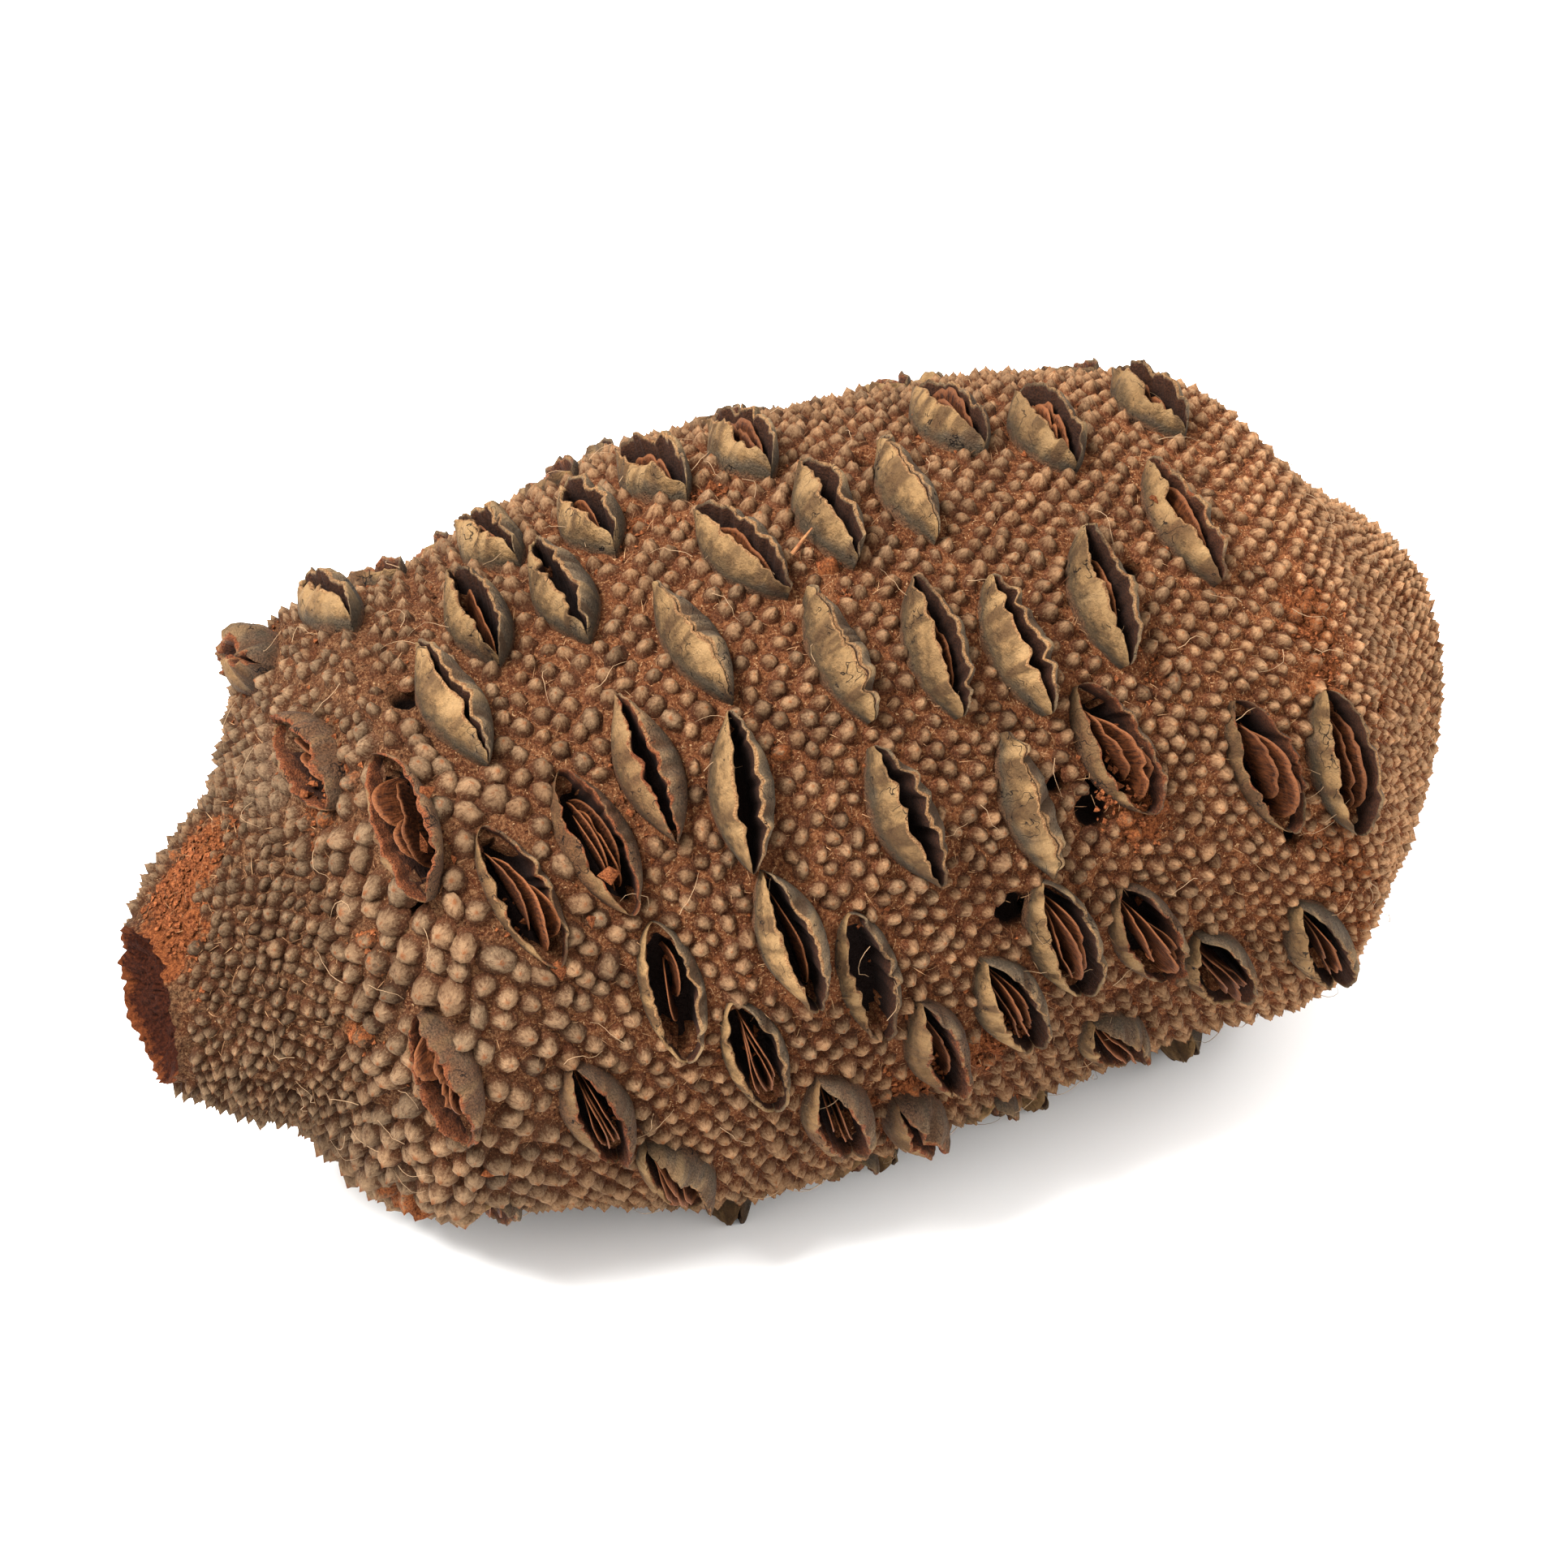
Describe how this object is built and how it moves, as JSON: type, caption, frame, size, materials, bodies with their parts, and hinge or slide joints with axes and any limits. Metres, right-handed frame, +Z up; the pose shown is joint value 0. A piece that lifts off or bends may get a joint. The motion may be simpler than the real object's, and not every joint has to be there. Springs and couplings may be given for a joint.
{
  "type": "banksia cone",
  "caption": "Woody banksia fruiting cone lying on its side, covered in blunt knobs, with two-lipped follicles, some open on loose seed separators.",
  "frame": {"origin": "on the surface that the cone lies on, under the middle of its box", "axes": "+X along the cone's axis, from the broken stem end to the blunt tip; +Z up; the side seen in the picture faces -Y"},
  "size_m": [0.176, 0.1008, 0.0967],
  "materials": {
    "bract_matrix": "dry felted wood, matt, tan knobs on red-brown felt, olive-grey follicle valves",
    "separator": "dark red-brown papery wood, dull satin"
  },
  "bodies": {
    "root": {"cone": "bract_matrix", "separator_01": "separator", "separator_02": "separator", "separator_03": "separator", "separator_04": "separator", "separator_05": "separator", "separator_06": "separator", "separator_07": "separator", "separator_08": "separator", "separator_09": "separator", "separator_10": "separator", "separator_11": "separator", "separator_12": "separator", "separator_13": "separator", "separator_14": "separator", "separator_15": "separator", "separator_16": "separator", "separator_17": "separator", "separator_18": "separator", "separator_19": "separator", "separator_20": "separator"}
  },
  "joints": []
}
